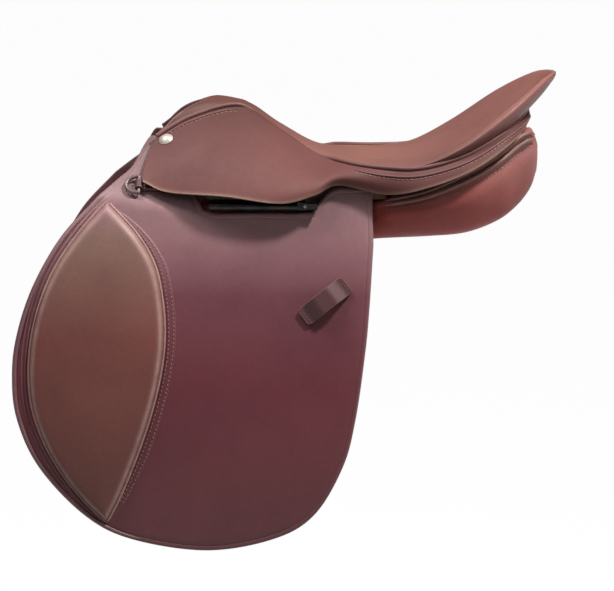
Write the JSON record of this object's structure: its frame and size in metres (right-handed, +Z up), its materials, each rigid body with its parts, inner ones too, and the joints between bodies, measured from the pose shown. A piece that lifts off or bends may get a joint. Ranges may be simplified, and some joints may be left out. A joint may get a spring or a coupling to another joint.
{
  "type": "jumping saddle",
  "caption": "English close-contact jumping saddle with a dished seat, skirts, forward-cut flaps with knee pads, billets, panels, stirrup bars and front dees.",
  "frame": {"origin": "middle plane of the saddle, at the height of the lowest line of the panels behind the flaps, under the middle of the seat", "axes": "+X towards the cantle, -X towards the pommel, -Y the left (near) side, +Y the right side, +Z up"},
  "size_m": [0.5775, 0.366, 0.4849],
  "materials": {
    "seat_leather": "smooth grained, soft sheen",
    "skirt_leather": "smooth, burnished edges",
    "flap_leather": "grained, soft sheen",
    "pad_leather": "smooth over padding",
    "panel_leather": "smooth over wool",
    "strap_leather": "bridle leather",
    "welt_leather": "rolled seam",
    "foam": "open foam",
    "webbing": "woven",
    "tree_wood": "laminated beech",
    "plate_steel": "mill",
    "bar_steel": "forged and polished",
    "dee_nickel": "worn nickel plate",
    "nail_nickel": "polished nickel"
  },
  "bodies": {
    "saddle": {"seat_cover": "seat_leather", "seat_foam": "foam", "seat_welt": "welt_leather", "tree_head": "tree_wood", "gullet_plate": "plate_steel", "tree_cantle": "tree_wood", "left_rail": "tree_wood", "right_rail": "tree_wood", "left_seat_web": "webbing", "right_seat_web": "webbing", "front_girth_web": "webbing", "rear_girth_web": "webbing", "left_skirt": "skirt_leather", "right_skirt": "skirt_leather", "left_flap_head": "flap_leather", "right_flap_head": "flap_leather", "left_sweat_flap": "panel_leather", "right_sweat_flap": "panel_leather", "left_buckle_guard": "strap_leather", "right_buckle_guard": "strap_leather", "left_panel": "panel_leather", "right_panel": "panel_leather", "left_upper_facing_welt": "welt_leather", "right_upper_facing_welt": "welt_leather", "left_lower_facing_welt": "welt_leather", "right_lower_facing_welt": "welt_leather", "left_stirrup_bar": "bar_steel", "right_stirrup_bar": "bar_steel", "left_bar_rivets": "bar_steel", "right_bar_rivets": "bar_steel", "left_catch_pin": "bar_steel", "right_catch_pin": "bar_steel", "left_dee_chape": "strap_leather", "right_dee_chape": "strap_leather", "left_nail": "nail_nickel", "right_nail": "nail_nickel"},
    "left_lobe": {"left_skirt_lobe": "skirt_leather"},
    "right_lobe": {"right_skirt_lobe": "skirt_leather"},
    "left_flap_leaf": {"left_flap": "flap_leather", "left_knee_pad": "pad_leather", "left_keeper": "strap_leather"},
    "right_flap_leaf": {"right_flap": "flap_leather", "right_knee_pad": "pad_leather", "right_keeper": "strap_leather"},
    "left_front_billet_strap": {"left_front_billet": "strap_leather"},
    "left_mid_billet_strap": {"left_mid_billet": "strap_leather"},
    "left_rear_billet_strap": {"left_rear_billet": "strap_leather"},
    "right_front_billet_strap": {"right_front_billet": "strap_leather"},
    "right_mid_billet_strap": {"right_mid_billet": "strap_leather"},
    "right_rear_billet_strap": {"right_rear_billet": "strap_leather"},
    "left_catch_lever": {"left_catch": "bar_steel"},
    "right_catch_lever": {"right_catch": "bar_steel"},
    "left_dee_ring": {"left_dee": "dee_nickel"},
    "right_dee_ring": {"right_dee": "dee_nickel"}
  },
  "joints": [
    {"name": "left_flap_lift", "type": "hinge", "parent": "saddle", "child": "left_flap_leaf", "pos_m": [-0.07701, -0.11267, 0.01714], "axis": [-0.9841, 0.0508, 0.1704], "range_deg": [0, 80]},
    {"name": "right_flap_lift", "type": "hinge", "parent": "saddle", "child": "right_flap_leaf", "pos_m": [-0.07701, 0.11267, 0.01714], "axis": [0.9841, 0.0508, -0.1704], "range_deg": [0, 80]},
    {"name": "left_skirt_lift", "type": "hinge", "parent": "saddle", "child": "left_lobe", "pos_m": [-0.07237, -0.108, 0.0696], "axis": [-0.9757, 0.1533, 0.1567], "range_deg": [0, 42]},
    {"name": "right_skirt_lift", "type": "hinge", "parent": "saddle", "child": "right_lobe", "pos_m": [-0.07237, 0.108, 0.0696], "axis": [0.9757, 0.1533, -0.1567], "range_deg": [0, 42]},
    {"name": "left_catch_lift", "type": "hinge", "parent": "saddle", "child": "left_catch_lever", "pos_m": [-0.00406, -0.11556, 0.033], "axis": [0, -1, 0], "range_deg": [0, 50]},
    {"name": "right_catch_lift", "type": "hinge", "parent": "saddle", "child": "right_catch_lever", "pos_m": [-0.00406, 0.11556, 0.033], "axis": [0, -1, 0], "range_deg": [0, 50]},
    {"name": "left_dee_swing", "type": "hinge", "parent": "saddle", "child": "left_dee_ring", "pos_m": [-0.1791, -0.09691, 0.05362], "axis": [0, 0.6851, 0.7285], "range_deg": [0, 65]},
    {"name": "right_dee_swing", "type": "hinge", "parent": "saddle", "child": "right_dee_ring", "pos_m": [-0.1791, 0.09691, 0.05362], "axis": [0, 0.6851, -0.7285], "range_deg": [0, 65]},
    {"name": "left_front_billet_swing", "type": "hinge", "parent": "saddle", "child": "left_front_billet_strap", "pos_m": [-0.05805, -0.10423, 0.00743], "axis": [0, -0.9598, 0.2808], "range_deg": [-5, 3]},
    {"name": "right_front_billet_swing", "type": "hinge", "parent": "saddle", "child": "right_front_billet_strap", "pos_m": [-0.05805, 0.10423, 0.00743], "axis": [0, -0.9598, -0.2808], "range_deg": [-5, 3]},
    {"name": "left_mid_billet_swing", "type": "hinge", "parent": "saddle", "child": "left_mid_billet_strap", "pos_m": [-0.01605, -0.10423, 0.00743], "axis": [0, -0.9598, 0.2808], "range_deg": [-3, 3]},
    {"name": "right_mid_billet_swing", "type": "hinge", "parent": "saddle", "child": "right_mid_billet_strap", "pos_m": [-0.01605, 0.10423, 0.00743], "axis": [0, -0.9598, -0.2808], "range_deg": [-3, 3]},
    {"name": "left_rear_billet_swing", "type": "hinge", "parent": "saddle", "child": "left_rear_billet_strap", "pos_m": [0.02595, -0.10423, 0.00743], "axis": [0, -0.9598, 0.2808], "range_deg": [-3, 8]},
    {"name": "right_rear_billet_swing", "type": "hinge", "parent": "saddle", "child": "right_rear_billet_strap", "pos_m": [0.02595, 0.10423, 0.00743], "axis": [0, -0.9598, -0.2808], "range_deg": [-3, 8]}
  ]
}
